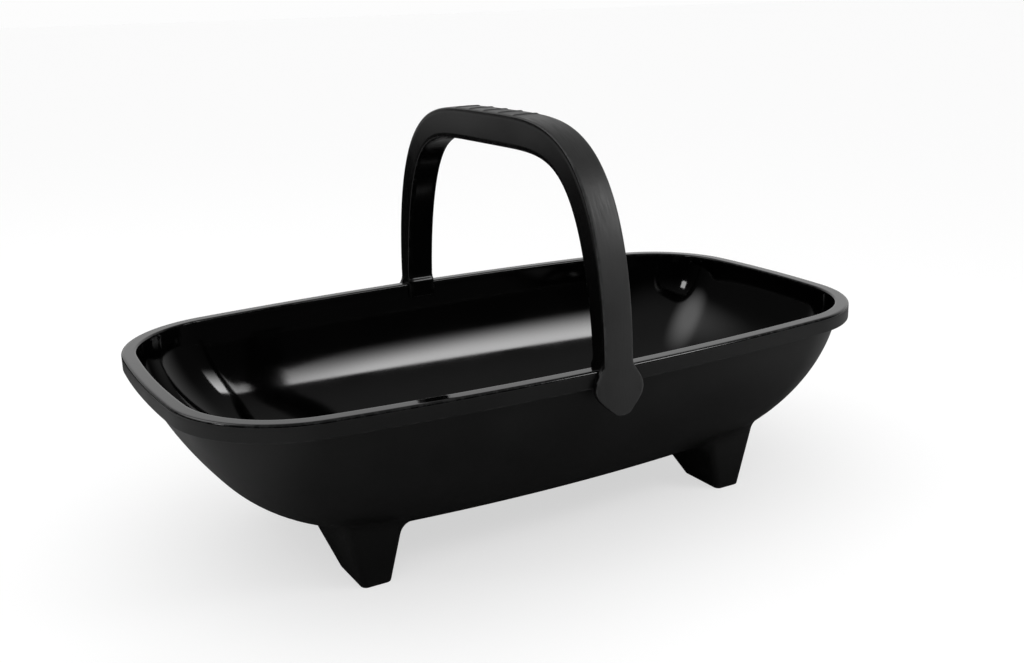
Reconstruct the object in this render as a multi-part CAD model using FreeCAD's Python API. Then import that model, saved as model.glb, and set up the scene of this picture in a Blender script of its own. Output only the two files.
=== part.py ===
"""A plastic garden trug: a boat-shaped tub, moulded in one piece with its rim and four hollow feet,
and a carrying handle, moulded in one piece, that clips over the middle of the two long rims.

Millimetres. The origin is on the ground under the middle of the tub, +X runs along the tub, +Y across it
in line with the handle, and +Z is up. Both pieces are symmetric about the XZ and YZ planes.
"""
import FreeCAD, Part

import os
from math import cos, hypot, pi, sin, sqrt

# --- driving dimensions -------------------------------------------------------------------------------

# Rim, seen from above: four slightly bowed sides joined by large corner arcs.
RIM_LENGTH = 600.0
RIM_WIDTH = 336.0
RIM_HEIGHT = 157.5        # top of the rim above the ground
SIDE_BOW = 24.3           # how far each long side bulges past a straight line between the tub's ends
END_BOW = 15.8
CORNER_RADIUS = 94.0
SKIRT_DEPTH = 13.0        # the turned-down lip round the outside of the rim
SKIRT_THICKNESS = 2.6
BAND_THICKNESS = 3.0      # the rim's flat top band
RIM_EDGE_RADIUS = 2.2     # round the outside of the rim's top
MOUTH_EDGE_RADIUS = 1.5   # round the inside of it

# Bowl: superelliptic end and side profiles between the rim and a flat floor.
WALL = 2.6
OVERHANG = 8.4            # from the bowl's outer wall to the outside of the skirt
BOWL_DEPTH = 125.8        # from the rim's top to the underside of the floor
FLOOR_HALF_LENGTH = 154.7
FLOOR_HALF_WIDTH = 67.3
END_POWER = 1.78
SIDE_POWER = 1.87
BOWL_SECTIONS = 10
LARGEST_CORNER = 0.9      # a section's corner radius as a share of its half-width

# Feet: tapered hollow posts, blended into the bowl.
FOOT_INNER_X = 154.2
FOOT_OUTER_X = 178.2
FOOT_INNER_Y = 52.8
FOOT_OUTER_Y = 99.4
FOOT_TOP = 64.0           # each post runs up to here, inside the bowl
FOOT_CORNER = 5.0
FOOT_DRAFT = {"inner_x": 0.24, "outer_x": 0.24, "inner_y": 1.30, "outer_y": 0.06}
FOOT_BLEND = 14.0         # fillet between the posts and the underside of the bowl
POCKET_BLEND = 8.0        # rounding where the hollow of each post opens into the bowl

# Handle: a strap bent into an arch between two superellipses, measured over the rim's top.
STRAP_WIDTH = 25.0
STRAP_EDGE_RADIUS = 1.8
ARCH_OUTER = {"reach": 173.1, "rise": 172.6, "side_power": 4.1, "top_power": 2.16}
ARCH_INNER = {"reach": 155.6, "rise": 146.4, "side_power": 5.7, "top_power": 1.6}
ARCH_POINTS = 11
RIB_PITCH = 23.6
RIB_COUNT = 5
RIB_WIDTH = 3.0
RIB_HEIGHT = 0.8
RIB_END_RADIUS = 1.7

# Handle ends: each straddles the rim with a leaf-shaped plate outside, a pad inside and a lug between.
SEAT_GAP = 0.2            # between the strap's end and the rim's top
SIDE_GAP = 0.3            # between the handle's end and the rim, outside and inside
LEAF_FACE = 173.4         # the leaf's outer face, from the middle of the tub
LEAF_HALF_OUTLINE = [(11.5, 8.0), (13.4, 1.5), (16.2, -3.0), (19.5, -9.0), (20.7, -16.0), (19.2, -22.0),
                     (16.0, -27.0), (11.8, -31.5), (7.0, -36.0)]    # from shoulder to tip, over the rim's top
LEAF_BEND = -6.0          # below here the leaf leans out from the tub
LEAF_LEAN = 0.21          # how far it leans out for each millimetre down
LEAF_EDGE_RADIUS = 1.2
PAD_WIDTH = 25.6
PAD_THICKNESS = 2.6
PAD_DEPTH = 13.0
PAD_TOP = 7.0
PAD_CHAMFER = 5.0
LUG_LENGTH = 16.0         # the lug sits in a slot through the rim's top band
LUG_THICKNESS = 3.6
LUG_DEPTH = 10.0

# --- worked out from them ------------------------------------------------------------------------------

HALF_LENGTH = RIM_LENGTH / 2
HALF_WIDTH = RIM_WIDTH / 2
INNER_WALL_Y = HALF_WIDTH - OVERHANG - WALL
LUG_Y = HALF_WIDTH - (OVERHANG + SKIRT_THICKNESS) / 2
CLOSE = 0.02              # tolerance when picking edges and faces by where they are


def point(x, y, z):
    return FreeCAD.Vector(x, y, z)


def arc(start, via, end, z):
    return Part.Arc(point(*start, z), point(*via, z), point(*end, z)).toShape()


def line(start, end):
    return Part.LineSegment(start, end).toShape()


def prism(wire, direction):
    return Part.Face(wire).extrude(direction)


def box(low, high):
    size = [b - a for a, b in zip(low, high)]
    return Part.makeBox(*size, point(*low))


def both_sides(shape):
    """The shape and its mirror image about the XZ plane."""
    return [shape, shape.mirror(point(0, 0, 0), point(0, 1, 0))]


def four_ways(shape):
    """Those two, and their mirror images about the YZ plane."""
    return [s for side in both_sides(shape) for s in (side, side.mirror(point(0, 0, 0), point(1, 0, 0)))]


def edges_of(faces):
    return [e for f in faces for e in f.Edges]


def shared_edges(faces, other_faces):
    others = edges_of(other_faces)
    return [e for e in edges_of(faces) if any(e.isSame(other) for other in others)]


# --- outlines ------------------------------------------------------------------------------------------

def towards(start, end):
    """The unit vector from one plan point to another, and the distance between them."""
    gap = hypot(end[0] - start[0], end[1] - start[1])
    return ((end[0] - start[0]) / gap, (end[1] - start[1]) / gap), gap


def stepped(start, direction, distance):
    return start[0] + direction[0] * distance, start[1] + direction[1] * distance


def circles_meet(first, first_radius, second, second_radius):
    """Where two circles meet, at the crossing with the larger X and Y."""
    along, gap = towards(first, second)
    reach = (gap**2 + first_radius**2 - second_radius**2) / (2 * gap)
    aside = sqrt(first_radius**2 - reach**2)
    middle = stepped(first, along, reach)
    across = (along[1], -along[0])
    return max(stepped(middle, across, aside), stepped(middle, across, -aside), key=sum)


def outline(half_length, half_width, side_bow, end_bow, corner, z):
    """A closed wire of eight tangent arcs: two long sides, two ends and four corners."""
    side_radius = (half_length**2 + side_bow**2) / (2 * side_bow)
    end_radius = (half_width**2 + end_bow**2) / (2 * end_bow)
    side_centre = (0.0, half_width - side_radius)
    end_centre = (half_length - end_radius, 0.0)
    centre = circles_meet(side_centre, side_radius - corner, end_centre, end_radius - corner)
    to_side, _ = towards(side_centre, centre)
    to_end, _ = towards(end_centre, centre)
    to_nose, _ = towards((0, 0), (to_side[0] + to_end[0], to_side[1] + to_end[1]))
    quarter = [stepped(centre, direction, corner) for direction in (to_side, to_nose, to_end)]
    ring = [(0.0, half_width), *quarter, (half_length, 0.0)]
    ring += [(x, -y) for x, y in reversed(quarter)] + [(0.0, -half_width)]
    ring += [(-x, -y) for x, y in quarter] + [(-half_length, 0.0)]
    ring += [(-x, y) for x, y in reversed(quarter)]
    count = len(ring)
    return Part.Wire([arc(ring[i - 1], ring[i], ring[(i + 1) % count], z) for i in range(0, count, 2)])


def rim_outline(inset, z):
    return outline(HALF_LENGTH - inset, HALF_WIDTH - inset, SIDE_BOW, END_BOW, CORNER_RADIUS - inset, z)


def superellipse(share, power):
    return max(1 - share**power, 0.0) ** (1 / power)


def between(floor, top, share, power):
    """How far out the bowl's skin is at a share of its depth, 0 at the rim's top and 1 at the floor."""
    return floor + (top - floor) * superellipse(share, power)


def bowl_outline(share, inset, depth):
    top_length = HALF_LENGTH - OVERHANG - inset
    top_width = HALF_WIDTH - OVERHANG - inset
    half_length = between(FLOOR_HALF_LENGTH, top_length, share, END_POWER)
    half_width = between(FLOOR_HALF_WIDTH, top_width, share, SIDE_POWER)
    scale = half_width / top_width
    corner = min((CORNER_RADIUS - OVERHANG - inset) * scale, half_width * LARGEST_CORNER)
    height = RIM_HEIGHT - share * depth
    return outline(half_length, half_width, SIDE_BOW * scale, END_BOW * scale, corner, height)


def rounded_rectangle(low_x, high_x, low_y, high_y, corner, z):
    bite = corner * (1 - sqrt(0.5))
    corners = ((high_x, high_y, 1, 1), (low_x, high_y, -1, 1),
               (low_x, low_y, -1, -1), (high_x, low_y, 1, -1))
    arcs = []
    for x, y, sx, sy in corners:
        ends = [(x, y - sy * corner), (x - sx * corner, y)]
        if sx != sy:
            ends.reverse()
        arcs.append((ends[0], (x - sx * bite, y - sy * bite), ends[1]))
    edges = []
    for this, following in zip(arcs, arcs[1:] + arcs[:1]):
        edges += [arc(*this, z), line(point(*this[2], z), point(*following[0], z))]
    return Part.Wire(edges)


def foot_outline(height, inset):
    """A rounded rectangle across one foot."""
    grow = {side: draft * height - inset for side, draft in FOOT_DRAFT.items()}
    return rounded_rectangle(
        FOOT_INNER_X - grow["inner_x"], FOOT_OUTER_X + grow["outer_x"],
        FOOT_INNER_Y - grow["inner_y"], FOOT_OUTER_Y + grow["outer_y"],
        FOOT_CORNER - inset, height + inset)


# --- the tub -------------------------------------------------------------------------------------------

def bowl(inset, depth):
    """The bowl as a solid, with its skin moved in by inset and its floor at depth below the rim's top."""
    turns = [i / (BOWL_SECTIONS - 1) for i in range(BOWL_SECTIONS)]
    shares = [sin(turn * pi / 2) for turn in turns]
    return Part.makeLoft([bowl_outline(share, inset, depth) for share in shares], True)


def foot(inset):
    return Part.makeLoft([foot_outline(height, inset) for height in (0, FOOT_TOP)], True)


def moulding(inset, blend):
    """Bowl and feet as one solid, with its skin moved in by inset and the feet blended into the bowl."""
    solid = bowl(inset, BOWL_DEPTH - inset).fuse(four_ways(foot(inset))).Solids[0]
    half_way_up = (RIM_HEIGHT - BOWL_DEPTH) / 2
    foot_faces = [f for f in solid.Faces if f.BoundBox.ZMin < half_way_up]
    bowl_faces = [f for f in solid.Faces if f.BoundBox.ZMin >= half_way_up]
    return solid.makeFillet(blend, shared_edges(foot_faces, bowl_faces))


def rim():
    """A shallow upside-down tray over the bowl's mouth. The bowl's inside is cut through it later."""
    skirt_bottom = RIM_HEIGHT - SKIRT_DEPTH
    tray = prism(rim_outline(0, skirt_bottom), point(0, 0, SKIRT_DEPTH))
    tray = tray.makeFillet(RIM_EDGE_RADIUS, [e for e in tray.Edges if e.BoundBox.ZMin > RIM_HEIGHT - CLOSE])
    underside = prism(rim_outline(SKIRT_THICKNESS, skirt_bottom), point(0, 0, SKIRT_DEPTH - BAND_THICKNESS))
    return tray.cut(underside)


def lug_block(gap, depth, top):
    """One locating lug, or with a gap the slot that it drops into, between two heights over the rim's top."""
    reach_x = LUG_LENGTH / 2 + gap
    reach_y = LUG_THICKNESS / 2 + gap
    return box((-reach_x, LUG_Y - reach_y, RIM_HEIGHT - depth), (reach_x, LUG_Y + reach_y, RIM_HEIGHT + top))


def tub():
    skin = moulding(0, FOOT_BLEND).fuse(rim())
    mouth = prism(bowl_outline(0, WALL, 0), point(0, 0, BAND_THICKNESS))
    slot = lug_block(SIDE_GAP, 2 * BAND_THICKNESS, BAND_THICKNESS)
    hollow = [moulding(WALL, POCKET_BLEND), mouth, *both_sides(slot)]
    solid = skin.cut(hollow).removeSplitter().Solids[0]
    at_top = [f for f in solid.Faces if f.BoundBox.ZMax > RIM_HEIGHT - CLOSE]
    band = [f for f in at_top if f.BoundBox.ZLength < CLOSE]
    wall = [f for f in at_top if f.BoundBox.ZLength > SKIRT_DEPTH]
    return solid.makeFillet(MOUTH_EDGE_RADIUS, shared_edges(band, wall))


# --- the handle ----------------------------------------------------------------------------------------

def arch(curve):
    """The strap's outer or inner curve, from one side of the rim over the crown to the other."""
    points = []
    for i in range(ARCH_POINTS):
        turn = i / (ARCH_POINTS - 1) * pi / 2
        y = curve["reach"] * max(cos(turn), 0.0) ** (2 / curve["side_power"])
        z = curve["rise"] * sin(turn) ** (2 / curve["top_power"])
        points.append(point(-STRAP_WIDTH / 2, y, RIM_HEIGHT + SEAT_GAP + z))
    points += [point(p.x, -p.y, p.z) for p in reversed(points[:-1])]
    spline = Part.BSplineCurve()
    spline.interpolate(points)
    return spline.toShape(), points[0], points[-1]


def strap():
    outer, outer_start, outer_end = arch(ARCH_OUTER)
    inner, inner_start, inner_end = arch(ARCH_INNER)
    section = Part.Wire([outer, line(outer_end, inner_end), inner, line(inner_start, outer_start)])
    solid = prism(section, point(STRAP_WIDTH, 0, 0))
    long_edges = [e for e in solid.Edges if e.Length > RIM_WIDTH]
    return solid.makeFillet(STRAP_EDGE_RADIUS, long_edges)


def rib(y):
    """A low ridge across the crown, its ends rounded down into the strap's edges."""
    crown = ARCH_OUTER["rise"] * superellipse(abs(y) / ARCH_OUTER["reach"], ARCH_OUTER["side_power"])
    top = RIM_HEIGHT + SEAT_GAP + crown + RIB_HEIGHT
    half = STRAP_WIDTH / 2
    solid = box((-half, y - RIB_WIDTH / 2, top - STRAP_EDGE_RADIUS), (half, y + RIB_WIDTH / 2, top))
    ends = [e for e in solid.Edges if e.BoundBox.XLength < CLOSE and e.BoundBox.ZMin > top - CLOSE]
    return solid.makeFillet(RIB_END_RADIUS, ends)


def leaf():
    """The leaf-shaped plate over the outside of the rim at one end of the strap, its tip leaning out."""
    back = HALF_WIDTH + SIDE_GAP
    shoulder_z, tip_z = LEAF_HALF_OUTLINE[0][1], LEAF_HALF_OUTLINE[-1][1]
    reach = (LEAF_BEND - tip_z) * LEAF_LEAN
    right = [point(x, back, RIM_HEIGHT + z) for x, z in LEAF_HALF_OUTLINE]
    left = [point(-p.x, p.y, p.z) for p in reversed(right)]
    curves = []
    for side in (right, left):
        spline = Part.BSplineCurve()
        spline.interpolate(side)
        curves.append(spline.toShape())
    wire = Part.Wire([curves[0], line(right[-1], left[0]), curves[1], line(left[-1], right[0])])
    outlined = prism(wire, point(0, LEAF_FACE + reach - back, 0))
    side_view = [(back, shoulder_z), (LEAF_FACE, shoulder_z), (LEAF_FACE, LEAF_BEND),
                 (LEAF_FACE + reach, tip_z), (back + reach, tip_z), (back, LEAF_BEND)]
    wide = STRAP_WIDTH
    corners = [point(-wide, y, RIM_HEIGHT + z) for y, z in side_view]
    slab = prism(Part.makePolygon(corners + corners[:1]), point(2 * wide, 0, 0))
    plate = outlined.common(slab).Solids[0]
    outside = [e for e in plate.Edges if e.BoundBox.YMin > LEAF_FACE - CLOSE
               and (e.BoundBox.ZLength > 1 or e.BoundBox.ZMin < RIM_HEIGHT + tip_z + CLOSE)]
    return plate.makeFillet(LEAF_EDGE_RADIUS, outside)


def pad():
    """The pad inside the rim, chamfered at its top where it steps out of the strap's inner face."""
    face = INNER_WALL_Y - SIDE_GAP
    wall_below = between(FLOOR_HALF_WIDTH, INNER_WALL_Y, PAD_DEPTH / (BOWL_DEPTH - WALL), SIDE_POWER)
    face_below = wall_below - SIDE_GAP
    front = face_below - PAD_THICKNESS
    root = ARCH_INNER["reach"] + PAD_THICKNESS / 2
    profile = [(front, -PAD_DEPTH), (face_below, -PAD_DEPTH), (face, SEAT_GAP), (root, SEAT_GAP),
               (root, PAD_TOP), (ARCH_INNER["reach"], PAD_TOP), (front, PAD_TOP - PAD_CHAMFER)]
    corners = [point(-PAD_WIDTH / 2, y, RIM_HEIGHT + z) for y, z in profile]
    return prism(Part.makePolygon(corners + corners[:1]), point(PAD_WIDTH, 0, 0))


def carry_handle():
    ribs = [rib((i - (RIB_COUNT - 1) / 2) * RIB_PITCH) for i in range(RIB_COUNT)]
    lug = lug_block(0, LUG_DEPTH, BAND_THICKNESS)
    ends = [s for end in (leaf(), pad(), lug) for s in both_sides(end)]
    return strap().fuse(ribs + ends).removeSplitter()


os.makedirs("parts", exist_ok=True)
for name, shape in (("tub", tub()), ("carry_handle", carry_handle())):
    state = "valid" if shape.isValid() else "NOT VALID"
    print(name, state, len(shape.Solids), "solid", round(shape.Volume / 1000), "cm3")
    shape.exportStep(f"parts/{name}.step")
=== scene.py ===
"""A black plastic garden trug on a pale studio floor: the tub, polished inside, on its four feet, and the
carrying handle that clips over its rim. Metres; the shapes are worked out in millimetres."""

from math import cos, pi, radians, sin, sqrt

import bmesh
import bpy
import numpy as np
from mathutils import Matrix, Vector
from mathutils.bvhtree import BVHTree


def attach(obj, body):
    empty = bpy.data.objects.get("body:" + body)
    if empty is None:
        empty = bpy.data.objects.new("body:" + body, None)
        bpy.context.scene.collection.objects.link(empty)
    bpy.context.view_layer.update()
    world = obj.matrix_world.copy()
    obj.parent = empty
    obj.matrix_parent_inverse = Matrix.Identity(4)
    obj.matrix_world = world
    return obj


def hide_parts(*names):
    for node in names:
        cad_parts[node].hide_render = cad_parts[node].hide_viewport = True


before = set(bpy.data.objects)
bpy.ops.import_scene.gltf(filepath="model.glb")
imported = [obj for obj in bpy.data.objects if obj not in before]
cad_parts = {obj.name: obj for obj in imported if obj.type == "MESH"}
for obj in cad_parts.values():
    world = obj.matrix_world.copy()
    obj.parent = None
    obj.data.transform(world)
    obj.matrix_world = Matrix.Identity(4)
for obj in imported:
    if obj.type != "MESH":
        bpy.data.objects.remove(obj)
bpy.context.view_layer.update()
scene = bpy.context.scene
MM = 0.001
GLOSSY, SATIN = 0, 1                        # a face's look, which is the number of its material
WHITE = (1, 1, 1, 1)

# --- the tub's sizes, in millimetres --------------------------------------------------------------------

HALF_LENGTH, HALF_WIDTH, RIM_HEIGHT = 299.93, 168.0, 157.5
SIDE_BOW, END_BOW, CORNER = 24.3, 15.8, 94.0
SKIRT_DEPTH, SKIRT, BAND = 13.0, 2.6, 3.0
RIM_EDGE, MOUTH_EDGE, SKIRT_EDGE, UNDER_EDGE = 2.2, 1.5, 0.6, 0.8
WALL, OVERHANG, BOWL_DEPTH = 2.6, 8.4, 125.8
FLOOR_LENGTH, FLOOR_WIDTH, END_POWER, SIDE_POWER = 154.7, 67.3, 1.78, 1.87
SLOT_X, SLOT_INSETS = 8.3, (3.4, 7.6)       # the slot for the lug: half its length, and its two sides
# each face of a foot: where it meets the ground, and how far it moves along the axis for each millimetre up
FOOT = {"x0": (154.2, -0.24), "x1": (178.2, 0.24), "y0": (52.8, -1.30), "y1": (99.4, 0.06)}
FOOT_CORNER, FOOT_BLEND, POCKET_BLEND, FOOT_EDGE = 5.0, 14.0, 8.0, 1.2

# how finely the tub is divided
SIDE_STEPS, CORNER_STEPS, END_STEPS, WALL_STEPS = 44, 32, 14, 62
SIDE_ARC = 220.0                            # about the length of the side's arc in a quarter of the outline
SLOT_COLS = 2
MOUTH_ROW, SKIRT_ROWS, SKIRT_EDGE_ROW = 8.5, (5, 8.5), 0.9     # plain rows on the band and down the skirt
FLOOR_SHRINKS = (0.97, 0.94, 0.91, 0.88, 0.85, 0.82, 0.79, 0.76, 0.72, 0.66, 0.58, 0.48, 0.36, 0.24, 0.12)
FLOOR_CROWDING = 0.12                       # how much closer together the wall's rows are near the floor
PROFILE_POINTS = 4001
FOOT_CORNER_STEPS, SKIN_RINGS, BLEND_RINGS, SIDE_RINGS, EDGE_RINGS = 6, 7, 9, 9, 3
FOOT_SHARE_HEIGHT, FOOT_MATCH_HEIGHT, FOOT_TALLEST = 20.0, 30.0, 110.0
FOOT_MARGIN = 3                             # cells of the skin left free round a foot's blend
PROBE_COLS = 120
# the stretch of skin round a foot, as divided for looking places up on it
FINER_SIDE, FINER_CORNER, FINER_END, FINER_WALL = 4, 6, 5, 330
SKIN_START, SKIN_TOP, SKIN_SHRINKS = 3, 0.25, np.arange(0.5, 1.0, 0.01)
UNDER_FOOT = (165, 70, 0)

# --- points and faces -----------------------------------------------------------------------------------


class Shell:
    """Points and faces as they are gathered, with each face's look."""

    def __init__(self, points):
        self.points, self.faces, self.looks = [tuple(p) for p in points], [], []

    def add(self, points):
        """Adds points and gives their numbers."""
        start = len(self.points)
        self.points.extend(tuple(p) for p in points)
        return list(range(start, len(self.points)))

    def face(self, corners, look):
        self.faces.append(tuple(corners))
        self.looks.append(look)

    def strip(self, last, here, satin=0):
        """Adds quads between two rows, the first few of them satin."""
        for c in range(len(here) - 1):
            self.face((last[c], last[c + 1], here[c + 1], here[c]), SATIN if c < satin else GLOSSY)

    def rings(self, loop, rings, centre, look):
        """Joins a loop to rings of as many points, each inside the last, and closes them round a centre."""
        last = loop
        for ring in rings:
            here = self.add(ring)
            for i in range(len(here)):
                j = (i + 1) % len(here)
                self.face((last[i], last[j], here[j], here[i]), look)
            last = here
        (middle,) = self.add([centre])
        for i in range(len(last)):
            self.face((last[i], last[(i + 1) % len(last)], middle), look)


def quarter_turn(steps):
    """The sine and cosine of evenly spaced angles from nothing to a quarter turn."""
    return [(sin(k / steps * pi / 2), cos(k / steps * pi / 2)) for k in range(steps + 1)]


def between(a, b, share):
    """Directions that are a share of the way round from each a to its b."""
    angle = np.arccos(np.clip((a * b).sum(-1), -1, 1))[..., None]
    return (np.sin((1 - share) * angle) * a + np.sin(share * angle) * b) / np.sin(angle)


def smooth_step(t):
    t = min(max(t, 0.0), 1.0)
    return t * t * (3 - 2 * t)


def rounding(near, radius):
    """How far an edge's rounding falls back, this far into it."""
    return radius - sqrt(max(radius**2 - near**2, 0.0)) if near > 0 else 0.0


# --- the tub's outlines ---------------------------------------------------------------------------------


def outline(a, b, side_bow, end_bow, corner, cut):
    """A quarter of a tub outline, from (0, b) round to (a, 0), as points at the given shares of its side,
    corner and end arcs."""
    side_radius = (a * a + side_bow**2) / (2 * side_bow)
    end_radius = (b * b + end_bow**2) / (2 * end_bow)
    side_centre, end_centre = np.array((0.0, b - side_radius)), np.array((a - end_radius, 0.0))
    gap = np.linalg.norm(end_centre - side_centre)
    along = (end_centre - side_centre) / gap
    reach = (gap**2 + (side_radius - corner) ** 2 - (end_radius - corner) ** 2) / (2 * gap)
    aside = sqrt((side_radius - corner) ** 2 - reach**2) * np.array((along[1], -along[0]))
    middle = side_centre + along * reach
    corner_centre = max(middle + aside, middle - aside, key=sum)
    side_end = np.arctan2(*(corner_centre - side_centre))
    corner_end = np.arctan2(*(corner_centre - end_centre))
    arcs = (
        (side_centre, side_radius, 0, side_end),
        (corner_centre, corner, side_end, corner_end),
        (end_centre, end_radius, corner_end, pi / 2),
    )
    made = []
    for (centre, radius, start, end), shares in zip(arcs, cut):
        turn = start + (end - start) * shares
        made.append(centre + radius * np.stack((np.sin(turn), np.cos(turn)), 1))
    return np.concatenate(made)


def cuts(n1, n2, n3, slot=True):
    """Shares along the three arcs, where no arc repeats the last point of the one before. The side's first
    steps cover the slot."""
    side = np.linspace(0, 1, n1 + 1)
    if slot:
        slot_end = SLOT_X / SIDE_ARC
        side = np.concatenate(([0, slot_end / 2], np.linspace(slot_end, 1, n1 - 1)))
    return side, np.linspace(0, 1, n2 + 1)[1:], np.linspace(0, 1, n3 + 1)[1:]


def rim_row(inset, z, cut):
    p = outline(HALF_LENGTH - inset, HALF_WIDTH - inset, SIDE_BOW, END_BOW, CORNER - inset, cut)
    return np.column_stack((p, np.full(len(p), z)))


def bowl_row(share, inset, cut, shrink=1.0):
    """A row round the bowl's skin at a share of its depth; shrink takes it in across the flat floor."""
    top_a, top_b = HALF_LENGTH - OVERHANG - inset, HALF_WIDTH - OVERHANG - inset
    a = FLOOR_LENGTH + (top_a - FLOOR_LENGTH) * max(1 - share**END_POWER, 0) ** (1 / END_POWER)
    b = FLOOR_WIDTH + (top_b - FLOOR_WIDTH) * max(1 - share**SIDE_POWER, 0) ** (1 / SIDE_POWER)
    narrow = b / top_b
    corner = min((CORNER - OVERHANG - inset) * narrow, b * 0.9)
    p = outline(a, b, SIDE_BOW * narrow, END_BOW * narrow, corner, cut) * shrink
    return np.column_stack((p, np.full(len(p), RIM_HEIGHT - share * (BOWL_DEPTH - inset))))


def wall_shares(inset, count, top):
    """Shares of the depth, evenly spaced along the wall's profile, from the top one down to the floor."""
    s = np.sin(np.linspace(0, pi / 2, PROFILE_POINTS))
    across = HALF_WIDTH - OVERHANG - inset - FLOOR_WIDTH
    a = across * np.maximum(1 - s**SIDE_POWER, 0) ** (1 / SIDE_POWER)
    run = np.concatenate(([0], np.cumsum(np.hypot(np.diff((BOWL_DEPTH - inset) * s), np.diff(a)))))
    start = np.interp(top, s, run)
    even = np.linspace(0, 1, count + 1)
    even = even + FLOOR_CROWDING * np.sin(pi * even) * even
    return np.interp(start + (run[-1] - start) * even, run, s)


# --- a foot, blended into a skin ------------------------------------------------------------------------


class Foot:
    """One foot, or with an inset the hollow inside it, as columns round a drafted rounded rectangle."""

    def __init__(self, inset, count):
        self.inset, self.corner = inset, FOOT_CORNER - inset
        x0, x1, y0, y1 = (FOOT[k][1] for k in ("x0", "x1", "y0", "y1"))
        self.rates = np.array([(x1, y1), (x0, y1), (x0, y0), (x1, y0)])
        sides = count - 4 * FOOT_CORNER_STEPS
        c = self.centres(FOOT_SHARE_HEIGHT)
        lengths = [np.linalg.norm(c[(i + 1) % 4] - c[i]) for i in range(4)]
        share = [max(2, round(sides * length / sum(lengths))) for length in lengths]
        share[int(np.argmax(share))] += sides - sum(share)
        self.cols = []
        for i in range(4):
            start = i * pi / 2
            for s in range(FOOT_CORNER_STEPS):
                self.cols.append((i, i, 0.0, start + pi / 2 * s / FOOT_CORNER_STEPS))
            for s in range(share[i]):
                self.cols.append((i, (i + 1) % 4, s / share[i], start + pi / 2))

    def centres(self, z):
        """The middles of the four rounded corners at a height."""
        x0, x1, y0, y1 = (FOOT[k][0] + FOOT[k][1] * (z - self.inset) for k in ("x0", "x1", "y0", "y1"))
        c = self.corner + self.inset
        return np.array([(x1 - c, y1 - c), (x0 + c, y1 - c), (x0 + c, y0 + c), (x1 - c, y0 + c)])

    def point(self, col, z):
        i, j, s, turn = col
        c = self.centres(z)
        p = c[i] * (1 - s) + c[j] * s + self.corner * np.array((cos(turn), sin(turn)))
        return np.array((p[0], p[1], z))

    def normal(self, col):
        i, j, s, turn = col
        rate = self.rates[i] * (1 - s) + self.rates[j] * s
        n = np.array((cos(turn), sin(turn), -(rate[0] * cos(turn) + rate[1] * sin(turn))))
        return n / np.linalg.norm(n)


def skin_tree(inset):
    """The stretch of the bowl's skin that a foot stands in, fine enough to look up nearest points on."""
    fine = cuts(FINER_SIDE * SIDE_STEPS, FINER_CORNER * CORNER_STEPS, FINER_END * END_STEPS, slot=False)
    rows = [bowl_row(1.0, inset, fine, shrink) for shrink in SKIN_SHRINKS]
    rows += [bowl_row(s, inset, fine) for s in wall_shares(inset, FINER_WALL, SKIN_TOP)[::-1]]
    skin = np.array(rows)[:, SKIN_START * SIDE_STEPS:]
    m, n = skin.shape[:2]
    quads = [(k, k + 1, k + n + 1, k + n) for i in range(m - 1) for k in range(i * n, i * n + n - 1)]
    points = [Vector(p) for p in skin.reshape(-1, 3)]
    tree = BVHTree.FromPolygons(points, quads)
    if tree.find_nearest(Vector(UNDER_FOOT))[1].z > 0:
        tree = BVHTree.FromPolygons(points, [q[::-1] for q in quads])
    return tree


def skin_gap(tree, point):
    """How far under the skin a point is, or minus how far over it, and the nearest place on the skin."""
    at, normal, _, distance = tree.find_nearest(Vector(point))
    return (distance if (Vector(point) - at).dot(normal) > 0 else -distance), np.array(at)


def blend_places(foot, col, tree, blend):
    """Where a ball that rolls round between the foot and the skin touches each of them, and its middle."""
    n = foot.normal(col)
    low, high = 0.0, FOOT_TALLEST
    for _ in range(30):
        z = (low + high) / 2
        if skin_gap(tree, foot.point(col, z) + blend * n)[0] > blend:
            low = z
        else:
            high = z
    on_foot = foot.point(col, low)
    centre = on_foot + blend * n
    return skin_gap(tree, centre)[1], on_foot, centre


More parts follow.
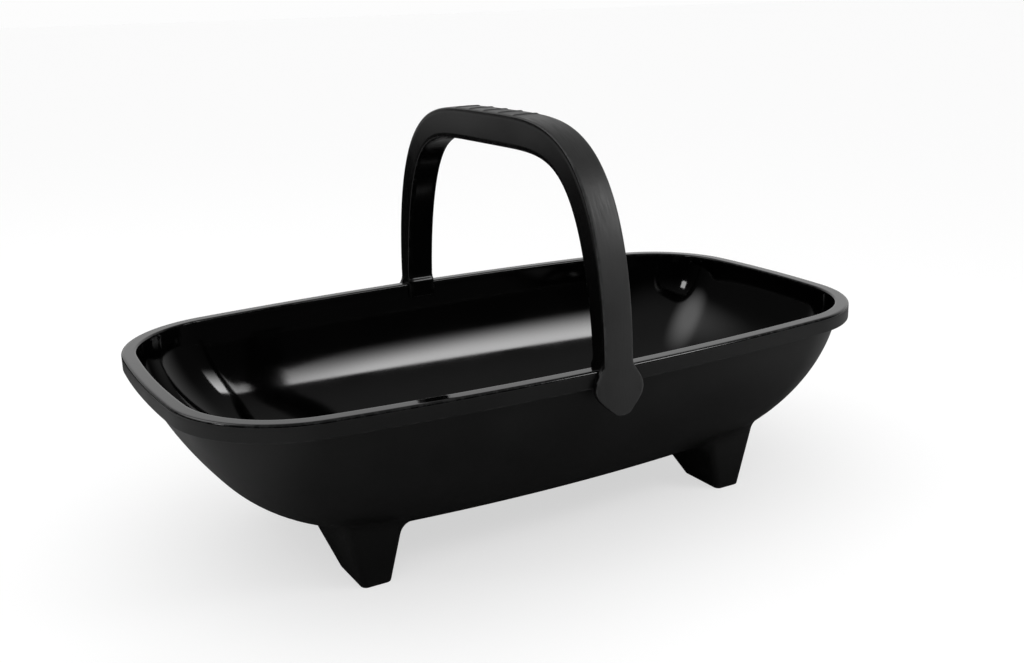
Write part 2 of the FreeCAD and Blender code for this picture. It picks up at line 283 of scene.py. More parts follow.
def foot_rings(foot, tree, blend, loop):
    """Rings of points from a loop on the skin in to the blend, down the foot and across its sole."""
    # which of the foot's columns goes with the loop's first point
    loop = np.array(loop)
    middle = foot.centres(FOOT_MATCH_HEIGHT).mean(0)
    ring = np.array([foot.point(col, FOOT_MATCH_HEIGHT)[:2] for col in foot.cols]) - middle
    want = loop[:, :2] - middle
    ring_turn, want_turn = np.arctan2(ring[:, 1], ring[:, 0]), np.arctan2(want[:, 1], want[:, 0])
    first = min(range(len(loop)), key=lambda k: np.sum(1 - np.cos(np.roll(ring_turn, -k) - want_turn)))
    cols = foot.cols[first:] + foot.cols[:first]

    on_skin, on_foot, centres = map(np.array, zip(*(blend_places(foot, col, tree, blend) for col in cols)))
    rings = []
    for w in np.arange(1, SKIN_RINGS) / SKIN_RINGS:
        rings.append(np.array([skin_gap(tree, p)[1] for p in loop * (1 - w) + on_skin * w]))
    rings.append(on_skin)
    a, b = (on_skin - centres) / blend, (on_foot - centres) / blend
    rings += [centres + blend * between(a, b, w) for w in np.arange(1, BLEND_RINGS) / BLEND_RINGS]
    rings.append(on_foot)

    normals = np.array([foot.normal(col) for col in cols])
    ends = foot.inset + FOOT_EDGE * (1 + normals[:, 2])
    for w in np.arange(1, SIDE_RINGS + 1) / SIDE_RINGS:
        heights = on_foot[:, 2] * (1 - w) + ends * w
        rings.append(np.array([foot.point(col, z) for col, z in zip(cols, heights)]))
    edge_middles, down = rings[-1] - FOOT_EDGE * normals, np.array((0, 0, -1.0))
    for w in np.arange(1, EDGE_RINGS + 1) / EDGE_RINGS:
        rings.append(edge_middles + FOOT_EDGE * between(normals, down, w))
    sole = rings[-1]
    centre = np.array((*sole[:, :2].mean(0), foot.inset))
    rings += [sole * (1 - w) + centre * w for w in (0.25, 0.5, 0.75)]
    return rings, centre


def foot_patch(grid, first, last, inset, blend):
    """A foot in the rows of the grid from first to last: the cells that it takes the place of, the loop round
    them, and the foot's rings and the middle of its sole."""
    tree = skin_tree(inset)
    probe = Foot(inset, PROBE_COLS)
    spots = []
    for col in probe.cols:
        apart = ((grid[first:last + 1] - blend_places(probe, col, tree, blend)[0]) ** 2).sum(2)
        spots.append(np.unravel_index(np.argmin(apart), apart.shape))
    (r0, c0), (r1, c1) = np.min(spots, 0) - FOOT_MARGIN, np.max(spots, 0) + FOOT_MARGIN
    r0, r1, c1 = r0 + first, r1 + first, min(c1, grid.shape[1] - 2)
    cells = {(r, c) for r in range(r0, r1) for c in range(c0, c1)}
    loop = [(r0, c) for c in range(c0, c1)] + [(r, c1) for r in range(r0, r1)]
    loop += [(r1, c) for c in range(c1, c0, -1)] + [(r, c0) for r in range(r1, r0, -1)]
    points = [grid[r, c] for r, c in loop]
    area = sum(p[0] * q[1] - q[0] * p[1] for p, q in zip(points, points[1:] + points[:1]))
    if area < 0:
        loop.reverse()
        points.reverse()
    return cells, loop, *foot_rings(Foot(inset, len(loop)), tree, blend, points)


# --- the tub --------------------------------------------------------------------------------------------


def tub_rows():
    """Rows of points from the middle of the inside's floor up the bowl, over the rim and down the outside,
    and where among them the slot, the skirt and the outer wall start."""
    cut = cuts(SIDE_STEPS, CORNER_STEPS, END_STEPS)
    inner = wall_shares(WALL, WALL_STEPS, MOUTH_EDGE / (BOWL_DEPTH - WALL))
    outer = wall_shares(0, WALL_STEPS, (BAND + UNDER_EDGE) / BOWL_DEPTH)
    rows = [bowl_row(1.0, WALL, cut, shrink) for shrink in reversed(FLOOR_SHRINKS)]
    rows += [bowl_row(s, WALL, cut) for s in inner[::-1]]

    # the rim's section, as how far in from the rim's edge and how high
    top, low, under = RIM_HEIGHT, RIM_HEIGHT - SKIRT_DEPTH, RIM_HEIGHT - BAND
    mouth, slot_middle = OVERHANG + WALL, sum(SLOT_INSETS) / 2
    rim = [(mouth - MOUTH_EDGE * (1 - c), top - MOUTH_EDGE * (1 - s)) for s, c in quarter_turn(4)[1:]]
    rim.append((MOUTH_ROW, top))
    marks = {"slot_top": len(rows) + len(rim)}
    rim += [(SLOT_INSETS[1], top), (slot_middle, top), (SLOT_INSETS[0], top)]
    rim += [(RIM_EDGE * (1 - s), top - RIM_EDGE * (1 - c)) for s, c in quarter_turn(6)]
    marks["skirt"] = len(rows) + len(rim) - 1
    rim += [(0, top - drop) for drop in SKIRT_ROWS] + [(0, low + SKIRT_EDGE + SKIRT_EDGE_ROW)]
    rim += [(SKIRT_EDGE * (1 - c), low + SKIRT_EDGE * (1 - s)) for s, c in quarter_turn(4)]
    rim += [(SKIRT - SKIRT_EDGE * (1 - s), low + SKIRT_EDGE * (1 - c)) for s, c in quarter_turn(4)]
    rim.append((SKIRT, (low + under) / 2))
    rim += [(SKIRT + UNDER_EDGE * (1 - c), under - UNDER_EDGE * (1 - s)) for s, c in quarter_turn(3)]
    marks["slot_under"] = len(rows) + len(rim) - 1
    rim.append((slot_middle, under))
    rim += [(OVERHANG - UNDER_EDGE * (1 - s), under - UNDER_EDGE * (1 - c)) for s, c in quarter_turn(3)[:-1]]
    rows += [rim_row(inset, z, cut) for inset, z in rim]

    marks["outer_wall"] = len(rows)
    rows += [bowl_row(s, 0, cut) for s in outer]
    rows += [bowl_row(1.0, 0, cut, shrink) for shrink in FLOOR_SHRINKS]
    return np.array(rows), marks


def tub_mesh():
    """A quarter of the tub, x >= 0 and y >= 0."""
    grid, marks = tub_rows()
    n_rows, n_cols = grid.shape[:2]
    shell = Shell(grid.reshape(-1, 3))

    def index(r, c):
        return r * n_cols + c

    pocket = foot_patch(grid, 0, len(FLOOR_SHRINKS) + WALL_STEPS, WALL, POCKET_BLEND)
    foot = foot_patch(grid, marks["outer_wall"], n_rows - 1, 0.0, FOOT_BLEND)
    slot_rows = [marks[k] + i for k in ("slot_top", "slot_under") for i in range(2)]
    removed = {(r, c) for r in slot_rows for c in range(SLOT_COLS)} | pocket[0] | foot[0]
    for r in range(n_rows - 1):
        for c in range(n_cols - 1):
            if (r, c) not in removed:
                corners = (index(r, c), index(r, c + 1), index(r + 1, c + 1), index(r + 1, c))
                shell.face(corners, GLOSSY if r < marks["skirt"] else SATIN)

    bottom = RIM_HEIGHT - BOWL_DEPTH
    for r, z, look in ((0, bottom + WALL, GLOSSY), (n_rows - 1, bottom, SATIN)):
        (middle,) = shell.add([(0.0, 0.0, z)])
        for c in range(n_cols - 1):
            shell.face((middle, index(r, c), index(r, c + 1)), look)

    def slot_ring(r):
        across = range(SLOT_COLS + 1)
        far_side = [index(r + 2, c) for c in reversed(across)]
        return [index(r, c) for c in across] + [index(r + 1, SLOT_COLS)] + far_side

    upper, lower = slot_ring(marks["slot_top"]), slot_ring(marks["slot_under"])[::-1]
    for i in range(len(upper) - 1):
        shell.face((upper[i], upper[i + 1], lower[i + 1], lower[i]), SATIN)
    for (_, loop, rings, centre), look in ((pocket, GLOSSY), (foot, SATIN)):
        shell.rings([index(r, c) for r, c in loop], rings, centre, look)
    return shell


# --- the handle's sizes, in millimetres, with heights from the rim's top --------------------------------

STRAP_HALF, STRAP_EDGE = 12.5, 1.8
ARCH_OUTER, ARCH_INNER = (173.1, 172.6, 4.1, 2.16), (155.6, 146.4, 5.7, 1.6)   # reach, rise, two powers
CROWN = 100.0                               # the grip's ribs are above here
RIB_PITCH, RIB_REACH, RIB_HEIGHT, RIBS_EACH_WAY = 23.6, 1.9, 0.75, 2
SEAT = 0.2                                  # the underside of the strap's ends
CREASE = 0.35                               # how far the outer face falls away on each side of its middle
LEAF_TOP, LEAF_TIP, LEAF_BACK, LEAF_EDGE = 6.0, -34.0, 168.3, 1.2
LEAF_BEND, LEAF_LEAN, BEND_SOFTNESS = -6.0, 0.19, 3.0      # it leans out from the tub below its bend
LEAF_KNOTS = (                              # height and half width down the leaf's edge
    (6, 12.5), (1.5, 13.4), (-3, 16.2), (-9, 19.6), (-15.5, 20.7),
    (-21, 18.4), (-25.5, 14.2), (-30, 9.2), (-34, 5),
)
TIP_ROUND, LEAF_THINNEST, TIP_NARROWEST = 2.0, 0.5, 0.4
PAD_FACE, PAD_BACK, PAD_FOOT, PAD_BOTTOM, PAD_HALF = 153.4, 156.7, 155.9, -13.0, 12.8
PAD_EDGE, PAD_CORNER = 0.8, 1.44            # the rounding of the pad's foot and of its upright edges
PAD_WIDENS, PAD_STEPS_IN = (7.0, 5.0), (7.5, 6.0)          # from what height down, and over how much
LUG_HALF, LUG_NEAR, LUG_FAR, LUG_BOTTOM = 8.0, 160.7, 164.3, -9.8
SIDE_DEPTH = 4.8                            # how far behind the outer face the side's first column is

# how finely the handle is divided
ARCH_POINTS, ARM_STEPS = 40001, 65
SEAT_ROWS = (SEAT, 1.0, 1.8, 2.6, 3.4, 4.2, 5.1, LEAF_TOP, 8.0, 10.0, 13.0)
LEAF_ROWS = (-1.0, -2.2, -3.5, -5, -6.5, *range(-8, -27, -2), -27.5, -29, -30.4)
TIP_SHARES = (0.2, 0.4, 0.55, 0.7, 0.82, 0.92, 1.0)
PAD_ROWS, PAD_EDGE_SHARES = (-1.5, -4, -7, -10, -11.8), (0, 0.33, 0.67, 1.0)
FACE_SHARES, INNER_SHARES = (0, 0.16, 0.32, 0.48, 0.64, 0.8, 0.92), (0.72, 0.36, 0.0)
ARC_SHARES = (0, 1 / 3, 2 / 3, 1)
FRONT = len(FACE_SHARES) + len(ARC_SHARES)  # the columns of the outer face and its rounded edge
SATIN_COLS = FRONT - 2

# --- the handle -----------------------------------------------------------------------------------------


def arch(curve):
    """Half of one of the strap's curves, from the rim up to the crown, as (y, z)."""
    reach, rise, side_power, top_power = curve
    turn = np.linspace(0, pi / 2, ARCH_POINTS)
    y = reach * np.maximum(np.cos(turn), 0) ** (2 / side_power)
    z = rise * np.maximum(np.sin(turn), 0) ** (2 / top_power)
    y[-1] = 0
    return np.column_stack((y, SEAT + z))


def leaf_half(z):
    """Half the leaf's width at a height: a smooth curve through the knots, closed by a round tip."""
    h, w = np.array(LEAF_KNOTS, float)[::-1].T
    slope = np.gradient(w, h)
    slope[-1] = 0.0
    i = int(np.clip(np.searchsorted(h, z) - 1, 0, len(h) - 2))
    gap = h[i + 1] - h[i]
    t = (z - h[i]) / gap
    width = ((1 + 2 * t) * (1 - t) ** 2 * w[i] + t * (1 - t) ** 2 * gap * slope[i]
             + t * t * (3 - 2 * t) * w[i + 1] + t * t * (t - 1) * gap * slope[i + 1])
    drop = max(LEAF_TIP + TIP_ROUND - z, 0.0) / TIP_ROUND
    return width * sqrt(max(1 - drop**2, 0.0))


def stations():
    """Pairs of points, on the outer curve and across from it on the inner, from the seat up to the crown."""
    outer, inner = arch(ARCH_OUTER), arch(ARCH_INNER)
    run = np.concatenate(([0], np.cumsum(np.hypot(*np.diff(outer, axis=0).T))))
    low = [np.interp(z, outer[:, 1], run) for z in SEAT_ROWS]
    across = [k * RIB_PITCH + RIB_REACH * f / 5 for k in range(RIBS_EACH_WAY + 1) for f in range(-5, 6)]
    ribs = sorted(np.interp(-y, -outer[:, 0], run) for y in across if y >= 0)
    last_rib = np.interp(-RIBS_EACH_WAY * RIB_PITCH - RIB_REACH, -outer[:, 0], run)
    arm = list(np.linspace(low[-1], last_rib, ARM_STEPS + 1)[1:-1])
    flats = [(a + b) / 2 for a, b in zip(ribs, ribs[1:]) if b - a > 5]
    made = []
    for s in sorted(low + arm + ribs + [middle + d for middle in flats for d in (-4, 0, 4)]):
        o = np.array([np.interp(s, run, outer[:, 0]), np.interp(s, run, outer[:, 1])])
        made.append((o, inner[np.argmin(((inner - o) ** 2).sum(1))]))
    made[0] = (made[0][0], np.array((ARCH_INNER[0], SEAT)))
    made[-1] = (np.array((0, outer[-1, 1])), np.array((0, inner[-1, 1])))
    return made


def front_columns(half, edge):
    """Across the outer face and round its edge: (x, how far behind the face)."""
    flat = half - edge
    made = [(share * flat, CREASE * (share * flat / STRAP_HALF) ** 1.5) for share in FACE_SHARES]
    sag = CREASE * (flat / STRAP_HALF) ** 1.5
    for share in ARC_SHARES:
        turn = share * pi / 2
        made.append((flat + edge * sin(turn), sag + edge * (1 - cos(turn))))
    return made


def rib_height(place):
    """How high a grip rib stands at a point on the outer curve."""
    y, z = place
    nearest = min(abs(y - k * RIB_PITCH) for k in range(RIBS_EACH_WAY + 1))
    if z < CROWN or nearest >= RIB_REACH:
        return 0.0
    return RIB_HEIGHT * 0.5 * (1 + cos(pi * nearest / RIB_REACH))


def strap_row(o, i):
    """Half a section through the strap, from the middle of its outer face to the middle of its inner."""
    z, height = o[1], rib_height(o)
    at_leaf = z < LEAF_TOP + 0.01
    half = leaf_half(z) if at_leaf else STRAP_HALF
    edge = STRAP_EDGE + (LEAF_EDGE - STRAP_EDGE) * smooth_step((LEAF_TOP - z) / LEAF_TOP)
    inner_half = STRAP_HALF + (PAD_HALF - STRAP_HALF) * smooth_step((PAD_WIDENS[0] - z) / PAD_WIDENS[1])
    push = (ARCH_INNER[0] - PAD_FACE) * smooth_step((PAD_STEPS_IN[0] - z) / PAD_STEPS_IN[1])
    i = i - np.array((push, 0))
    deep = np.linalg.norm(i - o)
    inward = (i - o) / deep
    columns = []
    for x, sag in front_columns(half, edge):
        lift = height * smooth_step((half - x) / (1.6 * edge))
        columns.append((x, *(o + inward * (sag - lift))))
    back = o + inward * ((LEAF_BACK - o[0]) / inward[0] if at_leaf else SIDE_DEPTH)
    columns += [(half, *back), (inner_half, *back)]
    for y in (LUG_FAR, LUG_NEAR, PAD_BACK):
        at = o + inward * deep * (ARCH_OUTER[0] - y) / (ARCH_OUTER[0] - PAD_FACE)
        columns.append((inner_half, y, z) if z < SEAT + 0.01 else (inner_half, *at))
    for share in ARC_SHARES:
        turn = share * pi / 2
        place = i - inward * STRAP_EDGE * (1 - sin(turn))
        columns.append((inner_half - STRAP_EDGE * (1 - cos(turn)), *place))
    columns += [((inner_half - STRAP_EDGE) * share, *i) for share in INNER_SHARES]
    return columns


def leaf_row(z, face_y):
    """Half a section through the leaf: its front and rounded edge, and the edge of its back."""
    half = max(leaf_half(z), TIP_NARROWEST)
    edge = min(LEAF_EDGE, half * 0.6)
    fall = rounding(LEAF_TIP + LEAF_EDGE - z, LEAF_EDGE)
    t = LEAF_BEND - z
    level = (sqrt(LEAF_BEND**2 + BEND_SOFTNESS) + LEAF_BEND) / 2
    lean = LEAF_LEAN * ((t + sqrt(t * t + BEND_SOFTNESS)) / 2 - level)
    thinnest = LEAF_BACK + LEAF_THINNEST
    row = [(x, max(face_y - sag - fall, thinnest) + lean, z) for x, sag in front_columns(half, edge)]
    return row + [(half, LEAF_BACK + lean, z)]


def add_leaf_front(shell, seat, face_y):
    """The leaf's front, from the strap's lowest row down. Gives its last row, its back's edge and the points
    down the middle of its back."""
    heights = [*LEAF_ROWS, *(LEAF_TIP + TIP_ROUND * (1 - sin(a * pi / 2)) for a in TIP_SHARES)]
    last = seat[:FRONT + 1]
    edge, middles = [last[-1]], []
    for z in heights:
        row = leaf_row(z, face_y)
        here = shell.add(row)
        shell.strip(last, here, SATIN_COLS)
        edge.append(here[-1])
        middles.append((0.0, row[-1][1], z))
        last = here
    return last, edge, middles


def add_seat_and_lug(shell, seat):
    """The underside of the strap's end, with the lug standing down from it. Gives the underside's corners."""
    rows = []
    for j, y in enumerate((LEAF_BACK, LUG_FAR, LUG_NEAR, PAD_BACK)):
        rows.append([seat[FRONT + 1 + j], *shell.add([(LUG_HALF, y, SEAT), (0.0, y, SEAT)])])
    for j, k in ((0, 0), (0, 1), (1, 0), (2, 0), (2, 1)):
        shell.face((rows[j][k], rows[j][k + 1], rows[j + 1][k + 1], rows[j + 1][k]), GLOSSY)
    far, near = (shell.add([(LUG_HALF, y, LUG_BOTTOM), (0.0, y, LUG_BOTTOM)]) for y in (LUG_FAR, LUG_NEAR))
    shell.face((rows[1][1], rows[1][2], far[1], far[0]), GLOSSY)
    shell.face((rows[2][2], rows[2][1], near[0], near[1]), GLOSSY)
    shell.face((rows[1][1], far[0], near[0], rows[2][1]), GLOSSY)
    shell.face((far[0], far[1], near[1], near[0]), GLOSSY)
    return rows


def add_leaf_back(shell, last, edge, middles, seat_edge):
    spine = shell.add(middles)
    shell.face((edge[0], edge[1], spine[0], *reversed(seat_edge)), GLOSSY)
    for k in range(1, len(spine)):
        shell.face((spine[k - 1], edge[k], edge[k + 1], spine[k]), GLOSSY)
    shell.face((*last, spine[-1]), GLOSSY)


def add_pad(shell, seat, seat_edge):
    """The pad inside the rim: its front and edges carried down from the strap, its bottom and its back."""
    drops = [*PAD_ROWS, *(PAD_BOTTOM + PAD_EDGE * (1 - sin(a * pi / 2)) for a in PAD_EDGE_SHARES)]
    last = seat[FRONT + 4:]
    back_edge = [last[0]]
    for z in drops:
        face = PAD_FACE + rounding(PAD_BOTTOM + PAD_EDGE - z, PAD_EDGE)
        back = PAD_BACK + (PAD_FOOT - PAD_BACK) * (SEAT - z) / (SEAT - PAD_BOTTOM)
        row = [(PAD_HALF, back, z)]
        for share in ARC_SHARES:
            turn = share * pi / 2
            row.append((PAD_HALF - PAD_CORNER * (1 - cos(turn)), face + PAD_CORNER * (1 - sin(turn)), z))
        row += [((PAD_HALF - PAD_CORNER) * share, face, z) for share in INNER_SHARES]
        here = shell.add(row)
        shell.strip(last, here)
        back_edge.append(here[0])
        last = here
    (middle,) = shell.add([(0.0, shell.points[last[0]][1], PAD_BOTTOM)])
    shell.face((*last, middle), GLOSSY)
    shell.face((*back_edge, middle, seat_edge[2], seat_edge[1]), GLOSSY)


def handle_mesh():
    """A quarter of the handle, x >= 0 and y >= 0."""
    sections = [strap_row(o, i) for o, i in stations()]
    shell = Shell(p for section in sections for p in section)
    n = len(sections[0])
    rows = [list(range(r * n, (r + 1) * n)) for r in range(len(sections))]
    for last, here in zip(rows, rows[1:]):
        shell.strip(last, here, SATIN_COLS)
    seat, face_y = rows[0], sections[0][0][1]
    last, edge, middles = add_leaf_front(shell, seat, face_y)
    under = add_seat_and_lug(shell, seat)
    add_leaf_back(shell, last, edge, middles, under[0])
    add_pad(shell, seat, under[3])
    shell.points = [(x, y, z + RIM_HEIGHT) for x, y, z in shell.points]
    return shell


# --- objects --------------------------------------------------------------------------------------------


def four_fold(shell):
    """The quarter and its three mirror images, welded into one mesh."""
    bm = bmesh.new()
    for sx, sy in ((1, 1), (-1, 1), (-1, -1), (1, -1)):
        made = [bm.verts.new((x * sx * MM, y * sy * MM, z * MM)) for x, y, z in shell.points]
        for corners, look in zip(shell.faces, shell.looks):
            face = bm.faces.new([made[i] for i in (corners if sx * sy > 0 else corners[::-1])])
            face.material_index = look
            face.smooth = True
    bmesh.ops.delete(bm, geom=[v for v in bm.verts if not v.link_faces], context="VERTS")
    bmesh.ops.remove_doubles(bm, verts=bm.verts, dist=2e-6)
    bmesh.ops.recalc_face_normals(bm, faces=bm.faces)
    return bm


def mark_wear(mesh, start=0.12, full=0.5):
    """Marks how sharply each vertex stands out from the ones round it, in curvature per millimetre."""
    count = len(mesh.vertices)
    at, normal = np.empty(count * 3), np.empty(count * 3)
    mesh.vertices.foreach_get("co", at)
    mesh.vertices.foreach_get("normal", normal)
    at, normal = at.reshape(-1, 3) / MM, normal.reshape(-1, 3)
    ends = np.empty(len(mesh.edges) * 2, int)
    mesh.edges.foreach_get("vertices", ends)
    a, b = ends.reshape(-1, 2).T
    way = at[b] - at[a]
    length2 = np.maximum((way**2).sum(1), 1e-6)
    bends = np.zeros(count)
    np.maximum.at(bends, a, -2 * (way * normal[a]).sum(1) / length2)
    np.maximum.at(bends, b, 2 * (way * normal[b]).sum(1) / length2)
    share = np.clip((bends - start) / (full - start), 0, 1)
    attribute = mesh.attributes.new("wear", "FLOAT", "POINT")
    attribute.data.foreach_set("value", share * share * (3 - 2 * share))


def solid_object(name, bm, materials, body, crease=None):
    """A visible piece in place of a body's solid; edges sharper than the crease, in degrees, stay sharp."""
    mesh = bpy.data.meshes.new(name)
    bm.to_mesh(mesh)
    bm.free()
    if crease:
        mesh.set_sharp_from_angle(angle=radians(crease))
    mark_wear(mesh)
    made = bpy.data.objects.new(name, mesh)
    scene.collection.objects.link(made)
    for material in materials:
        mesh.materials.append(material)
    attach(made, body)
    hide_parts(body)


# --- nodes ----------------------------------------------------------------------------------------------


def node(tree, kind, settings=None, **inputs):
    """Adds a node; inputs are numbers, colours or other nodes' outputs, by socket name or number."""
    n = tree.nodes.new("ShaderNode" + kind)
    for key, value in (settings or {}).items():
        setattr(n, key, value)
    for key, value in inputs.items():
        numbered = key[0] == "_" and key[1:].isdigit()
        socket = n.inputs[int(key[1:]) if numbered else key.replace("_", " ")]
        if isinstance(value, bpy.types.NodeSocket):
            tree.links.new(value, socket)
        else:
            socket.default_value = value
    return n


def ramp(tree, value, low, high, out_low, out_high):
    """The value, carried smoothly from one range to another."""
    settings = {"interpolation_type": "SMOOTHSTEP"}
    return node(tree, "MapRange", settings, Value=value, _1=low, _2=high, _3=out_low, _4=out_high).outputs[0]


def combine(tree, operation, a, b):
    return node(tree, "Math", {"operation": operation}, _0=a, _1=b).outputs[0]


def mixed(tree, share, a, b):
    """A number that goes from a to b with the share."""
    return node(tree, "Mix", {"data_type": "FLOAT"}, _0=share, _2=a, _3=b).outputs[0]


def grey(tree, tone):
    return node(tree, "CombineColor", _0=tone, _1=tone, _2=tone).outputs[0]


def emptied(owner):
    """The node tree of a material, world or light, with nothing in it."""
    owner.use_nodes = True
    owner.node_tree.nodes.clear()
    return owner.node_tree


# --- plastics -------------------------------------------------------------------------------------------


def plastic(name, tones, worn_tone, roughs, specular, grain, grain_depth, stretch=(1, 1, 1), streak=0.01):
    """Black moulded plastic: cloudy in tone and sheen, finely grained, and rubbed paler along its edges."""
    material = bpy.data.materials.new(name)
    t = emptied(material)
    at = node(t, "TexCoord").outputs["Object"]
    clouds = node(t, "TexNoise", Vector=at, Scale=16.0, Detail=4.0, Roughness=0.55).outputs[0]
    stretched = node(t, "VectorMath", {"operation": "MULTIPLY"}, _0=at, _1=stretch).outputs[0]
    pores = node(t, "TexNoise", Vector=stretched, Scale=grain, Detail=3.0, Roughness=0.6).outputs[0]
    scuffs = node(t, "TexNoise", Vector=at, Scale=210.0, Detail=3.0, Distortion=0.6).outputs[0]
    edge = node(t, "Attribute", {"attribute_name": "wear"}).outputs["Fac"]
    rubbed = combine(t, "MULTIPLY", edge, ramp(t, scuffs, 0.42, 0.62, 0.0, 1.0))
    tone = ramp(t, clouds, 0.3, 0.7, *tones)
    streaked = combine(t, "MULTIPLY", tone, ramp(t, pores, 0.3, 0.7, 0.8, 1.2))
    colour = grey(t, mixed(t, rubbed, streaked, worn_tone))
    cloudy, porous = ramp(t, clouds, 0.3, 0.7, *roughs), ramp(t, pores, 0.3, 0.7, -streak, streak)
    sheen = combine(t, "ADD", cloudy, porous)
    rough = node(t, "Math", {"operation": "MULTIPLY_ADD"}, _0=rubbed, _1=0.12, _2=sheen).outputs[0]
    bump = node(t, "Bump", Height=pores, Strength=0.6, Distance=grain_depth).outputs[0]
    shader = node(
        t, "BsdfPrincipled", Base_Color=colour, Roughness=rough, Normal=bump, Specular_IOR_Level=specular
    )
    node(t, "OutputMaterial", Surface=shader.outputs[0])
    return material


gloss = plastic(
    "gloss", tones=(0.0004, 0.0009), worn_tone=0.008, roughs=(0.05, 0.08), specular=0.5,
    grain=900, grain_depth=0.00001,
)
satin = plastic(
    "satin", tones=(0.0025, 0.0045), worn_tone=0.012, roughs=(0.42, 0.5), specular=0.4,
    grain=1100, grain_depth=0.00004,
)
side_gloss = plastic(
    "side_gloss", tones=(0.0008, 0.0016), worn_tone=0.008, roughs=(0.14, 0.2), specular=0.35,
    grain=900, grain_depth=0.00001,
)
strap_satin = plastic(
    "strap_satin", tones=(0.004, 0.011), worn_tone=0.022, roughs=(0.43, 0.53), specular=0.85,
    grain=500, grain_depth=0.00004, stretch=(3.0, 0.12, 0.12), streak=0.09,
)
solid_object("trug_tub", four_fold(tub_mesh()), (gloss, satin), "tub")
solid_object(
    "trug_handle", four_fold(handle_mesh()), (side_gloss, strap_satin), "carry_handle", 40
)

# --- camera, in metres ----------------------------------------------------------------------------------

CAMERA_AT, CAMERA_TARGET = (-0.4645, -0.8375, 0.4172), (0.00968, 0, 0.1436)
CAMERA_ROLL, CAMERA_LENS, SENSOR = -1.56, 41.44, 36


def camera():
    data = bpy.data.cameras.new("camera")
    data.lens, data.sensor_width = CAMERA_LENS, SENSOR
    cam = bpy.data.objects.new("camera", data)
    scene.collection.objects.link(cam)
    ahead = (Vector(CAMERA_TARGET) - Vector(CAMERA_AT)).normalized()
    level = ahead.cross(Vector((0, 0, 1))).normalized()
    upright = level.cross(ahead)
    c, s = cos(radians(CAMERA_ROLL)), sin(radians(CAMERA_ROLL))
    right, up = c * level + s * upright, -s * level + c * upright
    turn = Matrix((right, up, -ahead)).transposed().to_4x4()
    cam.matrix_world = Matrix.Translation(CAMERA_AT) @ turn
    scene.camera = cam


# --- studio and floor, in metres ------------------------------------------------------------------------

BACKDROP_WAY = (0.6, 0.8, 0.0)              # from the object to the middle of the light backdrop
FLOOR_HALF = 30.0


def studio():
    """A room that the plastic reflects, light behind the object and dim elsewhere, and that the camera sees
    as white paper."""
    world = bpy.data.worlds.new("studio")
    scene.world = world
    t = emptied(world)
    way = node(t, "TexCoord").outputs["Generated"]
    up = node(t, "SeparateXYZ", _0=way).outputs["Z"]
    back = node(t, "VectorMath", {"operation": "DOT_PRODUCT"}, _0=way, _1=BACKDROP_WAY).outputs["Value"]
    backdrop = combine(t, "MULTIPLY", ramp(t, back, 0.28, 0.85, 0.0, 0.75), ramp(t, up, 0.45, 0.75, 1.0, 0.0))
    side = ramp(t, back, -0.75, 0.1, 0.0, 0.045)
    ceiling = ramp(t, up, 0.3, 0.85, 0.004, 0.2)
    lit = combine(t, "ADD", combine(t, "ADD", backdrop, side), ceiling)
    seen = node(t, "LightPath").outputs["Is Camera Ray"]
    room = node(t, "Background", Color=WHITE, Strength=lit)
    paper = node(t, "Background", Color=WHITE, Strength=0.98)
    mix = node(t, "MixShader", _0=seen, _1=room.outputs[0], _2=paper.outputs[0])
    node(t, "OutputWorld", Surface=mix.outputs[0])


def pale_floor():
    """A large sheet of pale paper, which polished plastic reflects as if it lay in a dimmer room."""
    mesh = bpy.data.meshes.new("floor")
    corners = [(x * FLOOR_HALF, y * FLOOR_HALF, 0) for x, y in ((-1, -1), (1, -1), (1, 1), (-1, 1))]
    mesh.from_pydata(corners, [], [(0, 1, 2, 3)])
    sheet = bpy.data.objects.new("floor", mesh)
    scene.collection.objects.link(sheet)
    paper = bpy.data.materials.new("paper")
    t = emptied(paper)
    place = node(t, "TexCoord").outputs["Object"]
    fibres = node(t, "TexNoise", Vector=place, Scale=700.0, Detail=3.0).outputs[0]
    white = node(t, "CombineColor", _0=ramp(t, fibres, 0.3, 0.7, 0.87, 0.89), _1=0.88, _2=0.88).outputs[0]

    # how pale its reflections are, all painted shade and light: dim near the tub as a painted shadow of it,
    # lighter past its ends, and dark well behind it
    at = node(t, "SeparateXYZ", _0=place)
    x, y = at.outputs["X"], at.outputs["Y"]
    oval = node(t, "CombineXYZ", X=combine(t, "MULTIPLY", x, 0.55), Y=y).outputs[0]
    away = node(t, "VectorMath", {"operation": "LENGTH"}, _0=oval).outputs["Value"]
    # painted shadow of the tub, seen only in reflections
    around = ramp(t, away, 0.2, 0.7, 0.11, 0.26)
    past_left = mixed(t, ramp(t, x, -0.4, -0.2, 1.0, 0.0), around, 0.45)
    past_ends = mixed(t, ramp(t, x, 0.2, 0.6, 0.0, 1.0), past_left, 0.42)
    behind = combine(t, "MULTIPLY", ramp(t, y, 0.45, 0.65, 0.0, 1.0), ramp(t, x, -1.32, -1.2, 0.0, 1.0))
    tone = mixed(t, behind, past_ends, 0.012)

    path = node(t, "LightPath")
    bright = node(t, "BsdfDiffuse", Color=white).outputs[0]
    glow = node(t, "Emission", Color=WHITE, Strength=1.04).outputs[0]
    lifted = node(t, "MixShader", _0=0.6, _1=bright, _2=glow).outputs[0]
    seen = node(t, "MixShader", _0=path.outputs["Is Camera Ray"], _1=bright, _2=lifted).outputs[0]
    dim = node(t, "BsdfDiffuse", Color=grey(t, tone)).outputs[0]
    mix = node(t, "MixShader", _0=path.outputs["Is Glossy Ray"], _1=seen, _2=dim)
    node(t, "OutputMaterial", Surface=mix.outputs[0])
    mesh.materials.append(paper)


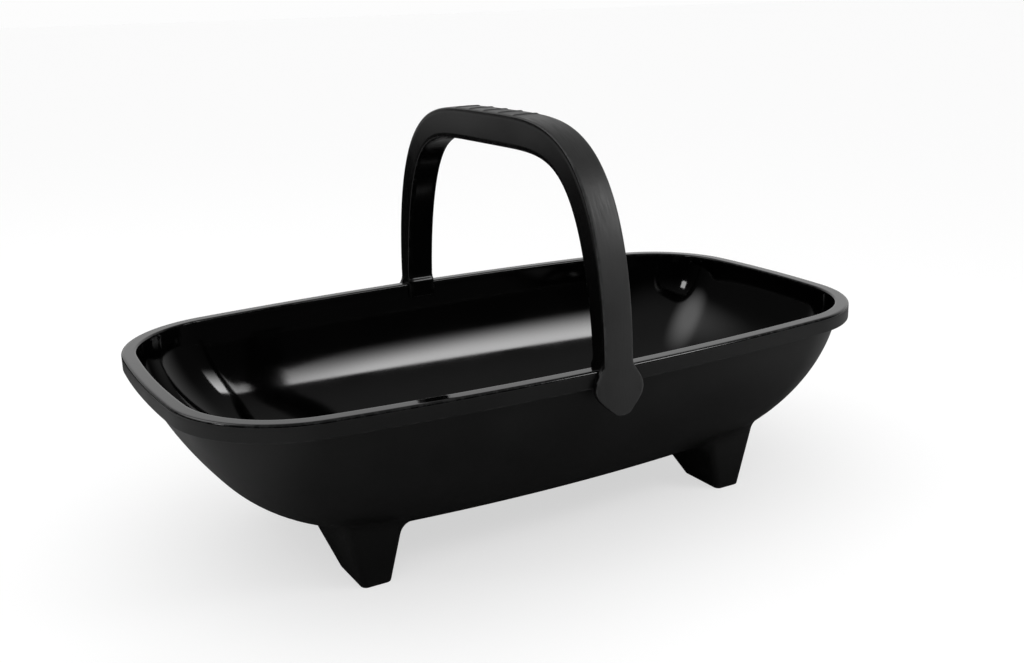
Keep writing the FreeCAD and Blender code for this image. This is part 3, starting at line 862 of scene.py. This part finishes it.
def lamp_at_top(t, place):
    """A softbox with its lamp high up, and dimmer toward one side."""
    at = node(t, "SeparateXYZ", _0=place)
    up = ramp(t, at.outputs["Y"], 0.0, 0.85, 0.0, 1.0)
    down = ramp(t, at.outputs["Y"], 0.9, 1.0, 1.0, 0.0)
    along = ramp(t, at.outputs["X"], 0.0, 0.3, 0.42, 1.0)
    return combine(t, "MULTIPLY", combine(t, "MULTIPLY", up, down), along)


def lamp_in_middle(t, place):
    """A softbox that is brightest in the middle and dark at its edges."""
    out = node(t, "VectorMath", {"operation": "DISTANCE"}, _0=place, _1=(0.5, 0.5, 0.0)).outputs["Value"]
    return ramp(t, out, 0.08, 0.5, 1.0, 0.0)


def area(name, at, to, size, radiance, pattern=None):
    """An area light; a pattern makes its glow vary over its face."""
    light = bpy.data.lights.new(name, "AREA")
    light.shape = "RECTANGLE"
    light.size, light.size_y = size
    light.energy = radiance * size[0] * size[1] * pi
    if pattern:
        t = emptied(light)
        place = node(t, "NewGeometry").outputs["Parametric"]
        shine = node(t, "Emission", Color=WHITE, Strength=pattern(t, place))
        node(t, "OutputLight", Surface=shine.outputs[0])
    made = bpy.data.objects.new(name, light)
    scene.collection.objects.link(made)
    turn = (Vector(to) - Vector(at)).to_track_quat("-Z", "Y").to_matrix().to_4x4()
    made.matrix_world = Matrix.Translation(at) @ turn


def fill():
    """Soft light from all over the ceiling, which nothing reflects."""
    sun = bpy.data.lights.new("fill", "SUN")
    sun.energy, sun.angle = 2.3, radians(100)
    made = bpy.data.objects.new("fill", sun)
    made.rotation_euler = (radians(8), radians(-6), 0)
    made.visible_glossy = False
    scene.collection.objects.link(made)


camera()
studio()
pale_floor()
area("key_box", (0.62, -0.76, 0.71), (-0.05, 0.05, 0.12), (0.44, 0.36), 10.5, lamp_at_top)
area("left_box", (-0.95, 0.75, 1.35), (0, 0, 0.1), (1.8, 1.6), 2.0, lamp_in_middle)
area("left_spot", (-1.3, -0.02, 0.85), (0.2, 0, 0.1), (0.18, 0.18), 8.0)
fill()
scene.view_settings.view_transform = "Standard"
